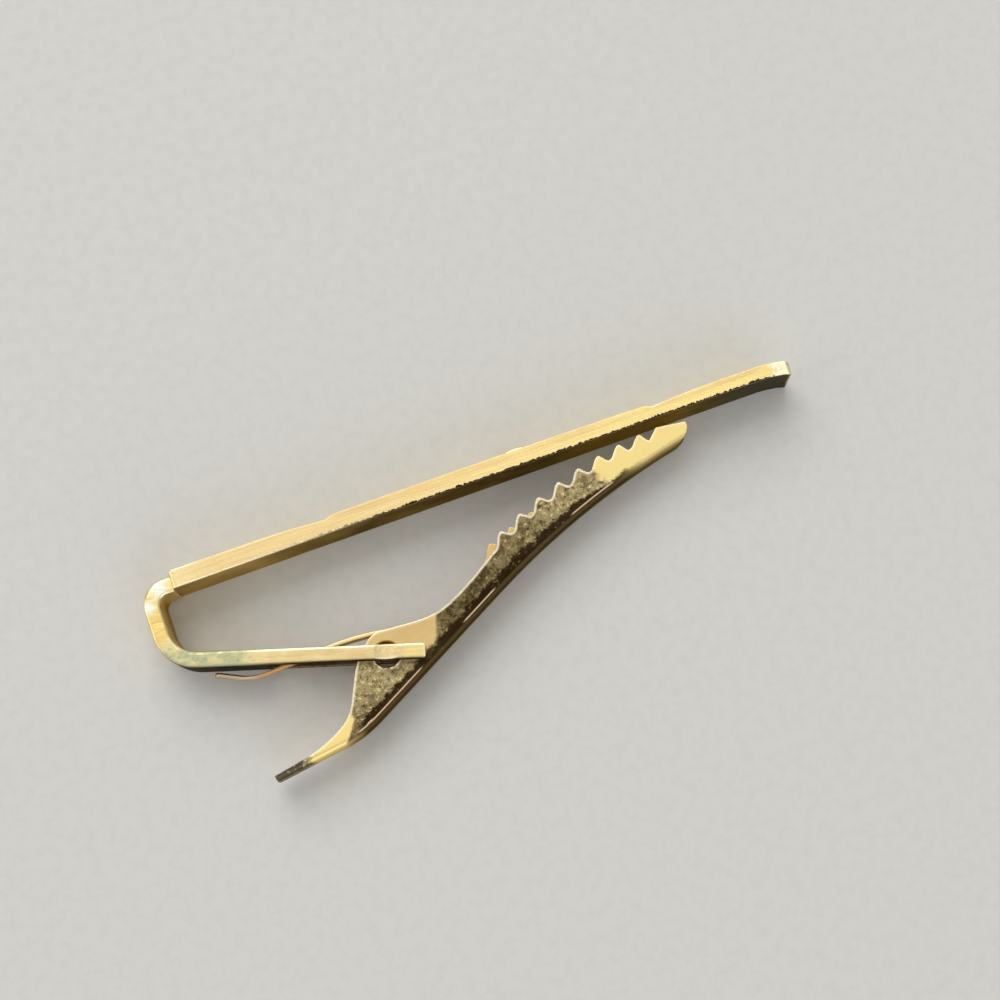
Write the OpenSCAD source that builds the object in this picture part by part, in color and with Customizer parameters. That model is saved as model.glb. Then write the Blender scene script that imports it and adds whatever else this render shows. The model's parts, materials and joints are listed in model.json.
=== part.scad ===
// Sprung tie clip, lying on the side edge of its front bar.
// X runs along the bar, Y points out of the bar's front face, Z runs across the bar's width.

/* [Front bar] */
// Length of the bar
bar_l = 60.6; // [56:0.2:66]
// Width of the bar
bar_w = 5.6; // [5.3:0.1:7]
// Thickness of the bar at the end that carries the bend
bar_t = 1.7; // [1.4:0.05:2.2]
// Thickness of the bar at its free tip
bar_tip_t = 1.3; // [1:0.05:1.8]
// Length of the centre panel of the front face
panel_l = 32; // [24:0.5:34]
// Distance from the bend end to the centre panel
panel_x = 15.2; // [12:0.2:18]
// Depth of the dip in the face at each end of the panel
dip_d = 0.28; // [0.1:0.02:0.4]
// Length of the slope that leads down into each dip
slope_l = 6.5; // [4:0.5:9]
// Length of the steep side of each dip
step_l = 1.1; // [0.6:0.1:2]
// How far the free tip of the bar turns back
tip_droop = 0.42; // [0.2:0.02:0.7]
// Length of the bar that the turn takes up
droop_l = 3.2; // [2:0.2:5]
// Radius of the bar's corners seen from the front
bar_corner_r = 0.4; // [0.2:0.05:0.8]

/* [Boss] */
// Distance from the bend end of the bar to the middle of the plain boss
boss_x = 33.8; // [30:0.2:36]
// Length of the boss
boss_l = 4.4; // [4:0.1:5]
// Width of the boss
boss_w = 3; // [2.4:0.1:3.6]
// Height of the boss above the panel
boss_h = 0.6; // [0.56:0.02:1]
// Radius of the boss's domed top
boss_crown_r = 4.5; // [4.2:0.1:6]
// Depth of the seat that the boss is soldered into
boss_seat = 0.15; // [0.1:0.01:0.25]

/* [Back strip] */
// Thickness of the strip that makes the bend and the leg
strip_t = 1.55; // [1.5:0.05:1.8]
// Width of the strip
strip_w = 4.8; // [4.6:0.1:5.2]
// Radius along the strip's edges
strip_edge_r = 0.3; // [0.15:0.05:0.4]
// How far the bend stands out past the end of the bar
bend_reach = 3.2; // [2.8:0.1:4]
// Height of the strip's outer face above the middle of the bar where the two join
strip_top = 0.45; // [0.2:0.05:0.6]
// Outer radius of the bend next to the bar
top_bend_r = 2.45; // [2.2:0.05:2.7]
// Outer radius of the bend next to the leg
low_bend_r = 4.2; // [3.6:0.1:4.8]
// Angle of the leg to the bar
leg_angle = 17; // [15:0.5:19]
// Thickness of the leg from the pivot to its tips
leg_tip_t = 1.4; // [1.3:0.05:1.5]
// Radius of the corners at the leg's tips
tip_corner_r = 0.3; // [0.2:0.02:0.6]
// Length of the leg past the pivot
leg_past = 3.6; // [3:0.1:5]
// Length of the fork from the pivot to its closed end
fork_l = 10.6; // [10.2:0.1:12]

/* [Pivot] */
// Distance of the pivot from the bend end of the bar
pivot_x = 16.5; // [16:0.1:17.5]
// Depth of the pivot behind the middle of the bar
pivot_drop = 12.95; // [12.4:0.05:14]
// Distance from the pivot's centre to the outer face of the leg
pivot_edge = 0.6; // [0.5:0.02:0.7]
// Diameter of the holes in the jaw's ears
ear_hole_d = 2.3; // [2.2:0.05:2.6]
// Running clearance of the punched nibs in the holes, all round
nib_play = 0.05; // [0.02:0.01:0.09]
// Clearance between each ear and the arm beside it
side_play = 0.1; // [0.06:0.01:0.14]
// Depth of the dent that the punch left outside each nib
dent_d = 0.12; // [0.08:0.02:0.24]

/* [Jaw] */
// Outer width of the jaw's channel
jaw_w = 3; // [2.8:0.05:3.2]
// Thickness of the jaw's sheet
jaw_t = 0.4; // [0.3:0.02:0.5]
// Outer radius of the two folds between the back and the sides
fold_r = 0.6; // [0.55:0.05:0.75]
// Distance from the pivot to the corner that bites first
bite_r = 32.6; // [31:0.2:35]
// Gap between the biting corner and the bar as the clip lies open
bite_gap = 0.67; // [0.5:0.01:1]
// Distance from the pivot to the outer face of the jaw's back
back_depth = 3.66; // [3.4:0.05:4]
// Angle of the straight back to the line from pivot to biting corner
neck_angle = 7.1; // [6:0.1:8]
// Length of the straight back from the pivot towards the teeth
neck_l = 11.5; // [10:0.1:13]
// Radius of the back behind the teeth
back_r = 76.5; // [65:0.5:90]
// Height of the ears above the pivot
ear_rise = 2.2; // [2.1:0.05:2.6]
// Distance from the pivot to the end of the thumb tab
tab_reach = 15; // [14:0.1:17]
// Radius of the bend between the ears and the thumb tab
tab_bend_r = 12; // [10:0.5:15]
// Angle that the thumb tab is bent away
tab_turn = 20; // [17:0.5:23]

/* [Teeth] */
// Number of teeth on each side of the jaw
teeth = 8; // [6:1:8]
// Length of the first tooth, next to the jaw's tip
tooth_pitch = 2.1; // [1.9:0.02:2.16]
// How much longer each tooth is than the one before it
pitch_growth = 0.044; // [0:0.004:0.048]
// Depth of the teeth
tooth_d = 0.9; // [0.5:0.02:1.1]
// Radius of the toothed edge
crest_r = 44.7; // [40:0.5:52]
// Height of the toothed edge above the line from pivot to biting corner
crest_rise = 2.1; // [1.9:0.02:2.4]
// How far the far row of teeth sinks towards the jaw's tip
far_fall = 0.6; // [0:0.05:0.7]
// Length of the plain land in front of the teeth
land_l = 2.5; // [1.5:0.1:3.5]
// Fall of the land towards the jaw's tip
land_fall = 1.34; // [1:0.02:1.6]
// Height of the rounded nose under the land
nose_h = 1.15; // [0.8:0.05:1.4]
// Length of the rounded nose
nose_l = 1.9; // [1.2:0.1:2.6]

/* [Leaf spring] */
// Thickness of the leaf spring
leaf_t = 0.33; // [0.2:0.01:0.36]
// Clearance at each side of the leaf inside the jaw
leaf_play = 0.15; // [0.1:0.01:0.25]
// Gap between the leaf's free tip and the leg with the spring relaxed
leaf_gap = 0.34; // [0.1:0.01:0.4]
// Length of the leaf's foot on the jaw's back
foot_l = 3.5; // [2.5:0.1:4]

/* [Hidden] */
$fn = 96;

// Overrun of cuts past the faces that they open
cut = 0.5;
// Points on each stretch of a smooth curve
curve_steps = 5;
// Sides of a full turn of the long bends
bend_fn = 360;
// How far the leg and the thumb tab reach into the bends that they grow out of, so that they join
seam_lap = 0.1;
// How far inside the bend's surface their own surface starts there
seam_step = 0.005;
// Points on each tooth
tooth_steps = 12;
// Clearance around the boss in its seat
seat_play = 0.03;
// Small gap that keeps the leaf's foot off the sheet that it lies on
foot_play = 0.01;
// Radius of the rounding at the front of the bar's ends
end_r = 0.38;
// Crown of the centre panel
panel_crown = 0.06;
// Height that the jaw's side walls are drawn to before they are cut to shape
wall_h = ear_rise + back_depth + crest_rise;
// Width of the chamfer around the outside of each ear's hole
hole_chamfer = 0.15;
// Radius of the closed corners of the fork
fork_corner_r = 0.5;

mid_z = bar_w / 2;
fork_w = jaw_w + 2 * side_play;
arm_t = (strip_w - fork_w) / 2;
nib_r = ear_hole_d / 2 - nib_play;
nib_h = side_play + jaw_t;
leaf_w = jaw_w - 2 * jaw_t - 2 * leaf_play;
pivot = [pivot_x, -pivot_drop];

function along(angle) = [cos(angle), sin(angle)];
function left_of(angle) = [-sin(angle), cos(angle)];

// Half thickness of the bar, which tapers evenly to its tip
function half_t(x) = (bar_t + (bar_tip_t - bar_t) * x / bar_l) / 2;
// How far the bar has turned back at x
function droop(x) = tip_droop * pow(max(0, x - bar_l + droop_l) / droop_l, 2);
// Distance of x outside the panel, negative inside it
function outside(x) = max(panel_x - x, x - panel_x - panel_l);
// Share of a dip's depth reached at the distance d outside the panel
function dip_share(d) = pow(max(0, d > 0 ? 1 - d / slope_l : 1 + d / step_l), 2);
// Share of the crown reached at x
function crown_share(x) = 1 - pow(min(1, abs(2 * (x - panel_x) / panel_l - 1)), 2);
function face_y(x) = half_t(x) - droop(x) - dip_d * dip_share(outside(x)) + panel_crown * crown_share(x);
function back_y(x) = -half_t(x) - droop(x);

// Distance from the biting corner's place on the bar's back to the pivot, measured along Y
bite_rise = pivot_drop - half_t(pivot_x + bite_r) - bite_gap;
lean = asin(bite_rise / bite_r);

// Smooth curve through all points but the first and last, which only set its ends' slopes
function blend(a, b, c, d, t) =
    0.5 * (2 * b + (c - a) * t + (2 * a - 5 * b + 4 * c - d) * t * t + (3 * b - a - 3 * c + d) * t * t * t);
function smooth(p) = concat(
    [for (i = [1:len(p) - 3], k = [0:curve_steps - 1]) blend(p[i - 1], p[i], p[i + 1], p[i + 2], k / curve_steps)],
    [p[len(p) - 2]]
);

// Line through corners that bend gently, from the distance ds[i] before each corner to as far after it
function unit(v) = v / norm(v);
function rounded_line(p, ds) = concat(
    [p[0]],
    [
        for (i = [1:len(p) - 2], k = [0:curve_steps])
            let (t = k / curve_steps)
            p[i] + ds[i] * (pow(1 - t, 2) * unit(p[i - 1] - p[i]) + t * t * unit(p[i + 1] - p[i]))
    ],
    [p[len(p) - 1]]
);

// Bar outline

// Stations along the face where the outline needs points
end_x = [for (k = [1:4]) end_r * (1 - cos(90 * k / 4))];
slope_shares = [0, 0.25, 0.5, 0.7, 0.85, 1];
step_shares = [0.15, 0.4, 0.7, 1];
panel_shares = [0.2, 0.35, 0.5, 0.65, 0.8];
droop_shares = [0, 0.2, 0.4, 0.6, 0.8];
face_x = concat(
    [for (s = slope_shares) panel_x - slope_l * (1 - s)],
    [for (s = step_shares) panel_x + step_l * s],
    [for (s = panel_shares) panel_x + panel_l * s],
    [for (i = [len(step_shares) - 1:-1:0]) panel_x + panel_l - step_l * step_shares[i]],
    [for (i = [len(slope_shares) - 1:-1:0]) panel_x + panel_l + slope_l * (1 - slope_shares[i])]
);
droop_x = [for (s = droop_shares) bar_l - droop_l + (droop_l - end_r) * s];
function corner_drop(d) = end_r - sqrt(max(0, end_r * end_r - pow(end_r - d, 2)));
bar_outline = concat(
    [[0, back_y(0)], [0, face_y(0) - end_r]],
    [for (x = end_x) [x, face_y(x) - corner_drop(x)]],
    [for (x = face_x) if (x < bar_l - droop_l) [x, face_y(x)]],
    [for (x = droop_x) [x, face_y(x)]],
    [for (i = [len(end_x) - 1:-1:0]) let (x = bar_l - end_x[i]) [x, face_y(x) - corner_drop(end_x[i])]],
    [[bar_l, face_y(bar_l) - end_r], [bar_l - end_r / 2, back_y(bar_l)]],
    [for (i = [len(droop_x) - 1:-1:0]) [droop_x[i], back_y(droop_x[i])]]
);

module across(w) {
    translate([0, 0, mid_z - w / 2])
        linear_extrude(w)
            children();
}

// Plate seen from the front with four rounded corners, as deep as the bar with its droop
module front_shape() {
    depth = bar_t + tip_droop + 2 * cut;
    translate([0, depth / 2, 0])
        rotate([90, 0, 0])
            linear_extrude(depth)
                rounded_box([0, bar_l], [0, bar_w], bar_corner_r);
}

module rounded_box(xs, ys, r) {
    translate([xs[0] + r, ys[0]])
        square([xs[1] - xs[0] - 2 * r, ys[1] - ys[0]]);
    translate([xs[0], ys[0] + r])
        square([xs[1] - xs[0], ys[1] - ys[0] - 2 * r]);
    for (x = [xs[0] + r, xs[1] - r], y = [ys[0] + r, ys[1] - r])
        translate([x, y])
            circle(r);
}

// Boss

seat_y = face_y(boss_x) - boss_seat;

// Block with round ends that stands on the panel's seat
module boss_block(l, w, h) {
    translate([boss_x, seat_y + h, mid_z])
        rotate([90, 0, 0])
            linear_extrude(h) {
                square([l - w, w], center = true);
                for (side = [-1, 1])
                    translate([side * (l - w) / 2, 0])
                        circle(w / 2);
            }
}

// Runs and bends of the strip and the channel. A run starts at zero and goes off along +X. A bend turns about zero,
// and where it starts it heads along +X. In both, the section's x grows to the left of the way.

module run(length) {
    translate([0, 0, mid_z])
        rotate([90, 0, 90])
            linear_extrude(length)
                children();
}

module left_bend(r, turn) {
    translate([0, 0, mid_z])
        rotate([0, 0, -90])
            rotate_extrude(angle = turn, $fn = bend_fn)
                translate([r, 0])
                    mirror([1, 0])
                        children();
}

module right_bend(r, turn) {
    translate([0, 0, mid_z])
        mirror([1, 0, 0])
            rotate([0, 0, 90])
                rotate_extrude(angle = turn, $fn = bend_fn)
                    translate([r, 0])
                        children();
}

// The same bend to the left, but the stretch of it that comes before zero
module bend_before(r, turn) {
    mirror([1, 0, 0])
        left_bend(r, turn)
            children();
}

module strip_section(step = 0) {
    half = strip_w / 2 - step;
    rounded_box([step, strip_t - step], [-half, half], strip_edge_r);
}

// Back frame: joint with the bar, bend beside it, side, bend into the leg, forked leg

leg_heading = -leg_angle;
leg_out = pivot - pivot_edge * left_of(leg_heading);
top_centre = [top_bend_r - bend_reach, strip_top - top_bend_r];
low_x = low_bend_r - bend_reach;
// Point of the leg's outer face that lies under the centre of the lower bend
low_start = leg_out + along(leg_heading) * ((low_x - leg_out.x - low_bend_r * sin(leg_angle)) / cos(leg_angle));
low_centre = low_start + low_bend_r * left_of(leg_heading);
leg_back = norm(leg_out - low_start);

module on_leg() {
    translate([pivot.x, pivot.y, 0])
        rotate([0, 0, leg_heading])
            children();
}

module fork_cut() {
    length = fork_l + leg_past + cut;
    depth = 2 * (strip_t + cut);
    on_leg()
        translate([-fork_l, depth / 2, mid_z])
            rotate([90, 0, 0])
                linear_extrude(depth)
                    rounded_box([0, length], [-fork_w / 2, fork_w / 2], fork_corner_r);
}

// The leg is filed thinner on the side that faces the bar, from a shallow slope before the pivot on
module thin_cut() {
    slope_shares = [0.95, 0.5];
    top = leg_tip_t - pivot_edge;
    full = strip_t - pivot_edge;
    on_leg()
        translate([0, 0, -cut])
            linear_extrude(bar_w + 2 * cut)
                polygon([
                    [-slope_shares[0] * leg_back, full],
                    [-slope_shares[1] * fork_l, top],
                    [leg_past + cut, top],
                    [leg_past + cut, full + cut],
                    [-slope_shares[0] * leg_back, full + cut]
                ]);
}

// Rounded corners at the ends of the two arms
module tip_cut() {
    on_leg()
        translate([leg_past - tip_corner_r, 0, -cut])
            difference() {
                translate([0, -strip_t, 0])
                    cube([tip_corner_r + cut, 2 * strip_t, bar_w + 2 * cut]);
                linear_extrude(bar_w + 2 * cut)
                    rounded_box([-strip_t, tip_corner_r], [-pivot_edge, leg_tip_t - pivot_edge], tip_corner_r);
            }
}

// Nibs that the punch pushed out of the arms into the jaw's ears. They are as high as the arm.
module nibs() {
    edge = fork_w / 2;
    on_leg()
        for (side = [-1, 1])
            intersection() {
                translate([0, 0, side > 0 ? mid_z + edge - nib_h : mid_z - edge])
                    cylinder(r = nib_r, h = nib_h);
                translate([-nib_r, -pivot_edge, 0])
                    cube([2 * nib_r, leg_tip_t, bar_w]);
            }
}

// Round-bottomed dents on the outside of the arms, opposite the nibs
module dents() {
    half = nib_r;
    r = (half * half + dent_d * dent_d) / (2 * dent_d);
    on_leg()
        for (side = [-1, 1])
            translate([0, strip_t, mid_z + side * (strip_w / 2 + r - dent_d)])
                rotate([90, 0, 0])
                    cylinder(r = r, h = 2 * strip_t, $fn = 180);
}

module back_frame_shape() {
    difference() {
        union() {
            translate([0, strip_top, 0])
                rotate([0, 0, 180])
                    run(-top_centre.x)
                        strip_section();
            translate([top_centre.x, top_centre.y, 0])
                rotate([0, 0, 180])
                    left_bend(top_bend_r, 90)
                        strip_section();
            translate([-bend_reach, top_centre.y, 0])
                rotate([0, 0, 270])
                    run(top_centre.y - low_centre.y)
                        strip_section();
            translate([low_centre.x, low_centre.y, 0])
                rotate([0, 0, 270])
                    left_bend(low_bend_r, 90 - leg_angle)
                        strip_section();
            translate([low_centre.x, low_centre.y, 0])
                rotate([0, 0, leg_heading])
                    translate([-seam_lap, -low_bend_r, 0])
                        run(seam_lap + leg_back + leg_past)
                            strip_section(seam_step);
        }
        fork_cut();
        thin_cut();
        tip_cut();
        dents();
    }
    nibs();
}

// Jaw, drawn with the pivot at zero and the biting corner on the X axis

module on_jaw() {
    translate([pivot.x, pivot.y, 0])
        rotate([0, 0, lean])
            children();
}

// Start of the straight back, left of the pivot, where the tab's bend ends
heel_share = 0.32;
neck_start = -heel_share * tab_reach;
tab_centre = neck_start * along(neck_angle) + (tab_bend_r - back_depth) * left_of(neck_angle);
tab_heading = neck_angle - tab_turn;
tab_end = tab_centre - tab_bend_r * left_of(tab_heading);
tab_run = (tab_end.x + tab_reach) / cos(tab_heading);
tab_start = tab_end - tab_run * along(tab_heading);
neck_end = neck_l * along(neck_angle) - back_depth * left_of(neck_angle);
tip_x = bite_r + land_l;
back_turn = asin((tip_x - neck_end.x) / back_r);

module channel_section(step = 0) {
    half = jaw_w / 2 - step;
    inner = jaw_w / 2 - jaw_t + step;
    outer_r = fold_r - step;
    inner_r = fold_r - jaw_t + step;
    difference() {
        union() {
            translate([fold_r, -half])
                square([wall_h - fold_r, 2 * half]);
            translate([step, outer_r - half])
                square([fold_r, 2 * (half - outer_r)]);
            for (side = [-1, 1])
                translate([fold_r, side * (half - outer_r)])
                    circle(outer_r);
        }
        translate([fold_r, -inner])
            square([wall_h, 2 * inner]);
        translate([fold_r - inner_r, inner_r - inner])
            square([wall_h, 2 * (inner - inner_r)]);
        for (side = [-1, 1])
            translate([fold_r, side * (inner - inner_r)])
                circle(inner_r);
    }
}

module channel() {
    translate([tab_centre.x, tab_centre.y, 0]) {
        rotate([0, 0, tab_heading])
            translate([-tab_run, -tab_bend_r, 0])
                run(tab_run + seam_lap)
                    channel_section(seam_step);
        rotate([0, 0, neck_angle]) {
            bend_before(tab_bend_r, tab_turn)
                channel_section();
            translate([0, -tab_bend_r, 0]) {
                run(neck_l - neck_start)
                    channel_section();
                translate([neck_l - neck_start, -back_r, 0])
                    right_bend(back_r, back_turn)
                        channel_section();
            }
        }
    }
}

// Toothed edge. A tooth rises steeply on the side of the jaw's tip and falls slowly behind.
crest_x_share = 0.588;
// How far the far row is set back, in teeth
far_shift = 0.5;
crest_centre = [crest_x_share * bite_r, crest_rise - crest_r];
steep_share = 0.33;
gullet_share = 0.03;
first_angle = asin((bite_r * (1 - gullet_share) - crest_centre.x) / crest_r);
// Share of the far row's fall reached at the place t, counted in teeth from the first gullet
high_share = 0.2;
fall_share = 0.33;
function fall_at(t) = min(1, (1 - t / teeth - high_share) / fall_share);
// Angle on the toothed edge from the first gullet to the place t
function tooth_angle(t) = (tooth_pitch * t + pitch_growth * t * t / 2) / crest_r * 180 / PI;
// Height of a tooth, as a share of its depth, at the share s of its length
function tooth_turn(s) = s < steep_share ? s / steep_share : 1 + (s - steep_share) / (1 - steep_share);
function tooth_share(s) = 0.5 - 0.5 * cos(180 * tooth_turn(s));
function crest_point(angle, depth) = crest_centre + (crest_r - depth) * [sin(angle), cos(angle)];
function teeth_points(shift, fall) = [
    for (i = [0:teeth * tooth_steps])
        let (t = i / tooth_steps, depth = tooth_d * (1 - tooth_share(t - floor(t))))
        crest_point(first_angle - tooth_angle(t + shift), depth + fall * fall_at(t))
];

// Edge from the last tooth over the neck and ears to the tab. Shares to the right of the pivot are of the
// biting radius, to its left of the tab's reach; above it they are of the ear's rise, below of the back's depth.
edge_shares = [
    [0.47, 0.85], [0.438, 0.5], [0.405, 0.37], [0.29, 0.06], [0.2, -0.015], [0.135, 0.2], [0.05, 0.76],
    [0.01, 1], [-0.066, 0.89], [-0.18, 0.48], [-0.3, -0.16], [-0.4, -0.52], [-0.507, -0.685],
    [-0.68, -0.735], [-0.82, -0.66], [-1, -0.53], [-1.2, -0.42]
];
function place(s) = [s.x * (s.x > 0 ? bite_r : tab_reach), s.y * (s.y > 0 ? ear_rise : back_depth)];
edge_points = smooth([for (s = edge_shares) place(s)]);
nose_points = [
    for (k = [0:6])
        [tip_x - nose_l + nose_l * sin(15 * k), -land_fall - nose_h * cos(15 * k)]
];

// Outline of one side wall, open below the back, which the channel itself ends
function wall_outline(shift, fall) =
    let (row = teeth_points(shift, fall), row_end = row[len(row) - 1])
    concat(
        [[-tab_reach, -2 * back_depth], [tip_x - nose_l, -2 * back_depth]],
        nose_points,
        [[bite_r, 0]],
        row,
        [for (p = edge_points) if (p.x < row_end.x) p]
    );

module wall_shape(low, high, shift = 0, fall = 0) {
    translate([0, 0, low])
        linear_extrude(high - low)
            polygon(wall_outline(shift, fall));
}

module jaw_shape() {
    half = jaw_w / 2;
    on_jaw()
        difference() {
            intersection() {
                channel();
                union() {
                    wall_shape(mid_z - half - cut, mid_z, far_shift, far_fall);
                    wall_shape(mid_z, mid_z + half + cut);
                }
            }
            translate([0, 0, mid_z - half - cut])
                cylinder(d = ear_hole_d, h = jaw_w + 2 * cut);
            for (side = [-1, 1])
                translate([0, 0, mid_z + side * half])
                    rotate([side > 0 ? 180 : 0, 0, 0])
                        cylinder(d1 = ear_hole_d + 2 * hole_chamfer, d2 = ear_hole_d, h = hole_chamfer);
        }
}

// Leaf spring

foot_back_share = 0.02;
crown_shares = [0.287, -0.798];
dip_shares = [0.794, 0.086];
kink_shares = [1.1755, 0.753];
leaf_end_share = 1.5;

// Places on the jaw and on the leg, the latter along the leg from the pivot and outwards from its middle
function from_jaw(p) = pivot + p.x * along(lean) + p.y * left_of(lean);
function from_leg(u, w) = pivot - u * along(leg_heading) - w * left_of(leg_heading);

leaf_centre = jaw_t + leaf_t / 2 + foot_play;
foot_end = neck_end + leaf_centre * left_of(neck_angle) - foot_back_share * neck_l * along(neck_angle);
heel = foot_end - foot_l * along(neck_angle);
leaf_tip_w = pivot_edge + leaf_gap + leaf_t / 2;
// Corners of the leaf's middle line. Shares along the leg are of the fork's length, and out from it of the ear's rise.
leaf_corners = [
    from_jaw(foot_end),
    from_jaw(heel),
    from_leg(crown_shares.x * fork_l, crown_shares.y * ear_rise),
    from_leg(dip_shares.x * fork_l, dip_shares.y * ear_rise),
    from_leg(kink_shares.x * fork_l, kink_shares.y * ear_rise),
    from_leg(leaf_end_share * fork_l, leaf_tip_w)
];
// Distances from each corner at which the leaf starts and ends its bend
leaf_bends = [0, 0.6, 2.6, 1.4, 1.3, 0];
leaf_line = rounded_line(leaf_corners, leaf_bends);
function leaf_side(i) =
    let (before = leaf_line[max(0, i - 1)], after = leaf_line[min(len(leaf_line) - 1, i + 1)], way = after - before)
    [-way.y, way.x] / norm(way) * leaf_t / 2;
leaf_outline = concat(
    [for (i = [0:len(leaf_line) - 1]) leaf_line[i] + leaf_side(i)],
    [for (i = [len(leaf_line) - 1:-1:0]) leaf_line[i] - leaf_side(i)]
);

// The part's origin is under the middle of its bounding box, on the surface that it lies on

boss_top = seat_y + boss_seat + boss_h;
function lowest(points) = min([for (p = points) p.y]);
tab_lowest = lowest([from_jaw(tab_start), from_jaw(tab_end)]);
centre = [(bar_l - bend_reach) / 2, (boss_top + tab_lowest) / 2];

module in_place() {
    translate([-centre.x, -centre.y, 0])
        children();
}

// Sub-parts

module front_bar() {
    color("#ecd592")
        in_place()
            difference() {
                intersection() {
                    across(bar_w)
                        polygon(bar_outline);
                    front_shape();
                }
                boss_block(boss_l + 2 * seat_play, boss_w + 2 * seat_play, boss_h);
            }
}

module centre_boss() {
    color("#e3c570")
        in_place()
            intersection() {
                boss_block(boss_l, boss_w, boss_seat + boss_h);
                translate([boss_x, boss_top - boss_crown_r, mid_z])
                    sphere(boss_crown_r, $fn = 180);
            }
}

module back_frame() {
    color("#f2e08a")
        in_place()
            back_frame_shape();
}

module jaw() {
    color("#d9bd74")
        in_place()
            jaw_shape();
}

module leaf_spring() {
    color("#b5824e")
        in_place()
            across(leaf_w)
                polygon(leaf_outline);
}

front_bar();
centre_boss();
back_frame();
jaw();
leaf_spring();
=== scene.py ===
"""Looks for the sprung tie clip: worn gold plate on brass, a copper-coloured leaf spring and a pale stage."""

import functools
import json
import math

import bpy
import numpy as np
from bpy.props import FloatProperty, FloatVectorProperty, IntProperty, PointerProperty
from bpy.types import NodeSocket, Operator, Panel, PropertyGroup
from mathutils import Matrix, Vector


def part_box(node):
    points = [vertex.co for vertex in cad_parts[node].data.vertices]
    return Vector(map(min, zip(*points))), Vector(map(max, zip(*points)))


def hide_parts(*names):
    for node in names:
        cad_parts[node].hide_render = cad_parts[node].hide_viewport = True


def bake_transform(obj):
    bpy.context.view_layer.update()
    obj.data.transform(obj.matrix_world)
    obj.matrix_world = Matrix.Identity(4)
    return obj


bl_info = {
    "name": "Tie Clip Looks",
    "version": (1, 0, 0),
    "blender": (4, 5, 0),
    "location": "3D View > Sidebar > Tie Clip",
    "description": "Finishes for a sprung tie clip with a toothed jaw, its leaf spring and a plain stage",
    "category": "Object",
}

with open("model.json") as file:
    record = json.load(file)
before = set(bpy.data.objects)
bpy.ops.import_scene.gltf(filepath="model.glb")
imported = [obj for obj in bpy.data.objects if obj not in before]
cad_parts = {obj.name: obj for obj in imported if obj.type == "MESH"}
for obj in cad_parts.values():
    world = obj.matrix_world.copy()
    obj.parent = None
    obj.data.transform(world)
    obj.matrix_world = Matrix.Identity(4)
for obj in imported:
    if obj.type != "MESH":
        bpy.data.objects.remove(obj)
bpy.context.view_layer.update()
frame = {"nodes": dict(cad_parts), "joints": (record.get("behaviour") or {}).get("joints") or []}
LEAF_LOW, LEAF_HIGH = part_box("leaf_spring")
PIVOT = Vector(frame["joints"][0]["pos_m"])
MM = 0.001

# The finishes give places in millimetres, and which way a face looks as a cosine

# Angles to the bar of the line from the pivot to the jaw's biting corner, and of the leg, in degrees
JAW_LEAN, LEG_LEAN = 20.83, -17.0
# The bar's back rim: its Y where X is 0, its rise along X, and the turn of the free tip, which goes from the
# first X to the second and comes to so much in Y
RIM_Y, RIM_SLOPE = 8.866, 0.0033
TIP_FROM, TIP_TO, TIP_TURN = 28.4, 34.0, -0.8
# The old scratch on the bar's back face follows an ellipse with this centre and these half axes. The one
# across the bar is so long that it doesn't count
SCRATCH_CENTRE, SCRATCH_AXES = (3.8, 8.9, 5.0), (0.55, 40.0, 2.4)
# Painted highlights on the bend, each with its centre and reach, and how much rounder the edges are in the
# bend
PAINTED_GLINTS = (((-30.0, 9.2, 5.2), 1.9), ((-31.4, 7.9, 5.2), 1.4))
BEND_ROUND = 0.16 * MM
# The jaw's fold, measured from the pivot: its depth below the pivot, its rise in degrees under the neck, and
# where it starts to curve down behind the teeth, with the radius of that curve
FOLD_DEPTH, FOLD_RISE = 3.69, 7.1
NECK_END, FOLD_RADIUS = 11.9, 76.5
# Stretches of the fold where a thin highlight is painted along it, and how far the line fades at their ends
FOLD_HIGHLIGHT_STRETCHES, FOLD_FADE = ((-6.5, 1.6), (7.4, 11.4), (21.4, 26.2)), 0.3
# Real rolling lines are about 0.02 mm apart, too fine to show, so all are drawn as coarse as they need to
# show: so many in a millimetre of the leg and of the jaw, and so many in two widths of the leaf. On the bar
# their spacing is a setting
LEG_LINES, JAW_LINES, LEAF_LINES = 5.0, 6.0, 60.0
# Samples of a rounded edge, and the cosines between its flat and rounded directions where the rubbed and
# painted brightness of an edge starts and where it is complete
BEVEL_SAMPLES = 6
RUB_START, RUB_FULL = 0.998, 0.95


def linear(text):
    """Turns an sRGB hex colour into linear red, green and blue."""
    shares = [int(text[i:i + 2], 16) / 255 for i in (1, 3, 5)]
    return tuple(s / 12.92 if s <= 0.04045 else ((s + 0.055) / 1.055) ** 2.4 for s in shares)


def colour(name, description, text):
    """A colour that the user can change."""
    return FloatVectorProperty(
        name=name, description=description, default=linear(text), size=3, min=0, max=1, subtype="COLOR"
    )


def length(name, description, default, high):
    """A length that the user can change, in metres."""
    return FloatProperty(
        name=name, description=description, default=default, min=0, max=high, unit="LENGTH", precision=5
    )


def amount(name, description, default, high, low=0):
    """A plain number that the user can change."""
    return FloatProperty(name=name, description=description, default=default, min=low, max=high)


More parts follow.
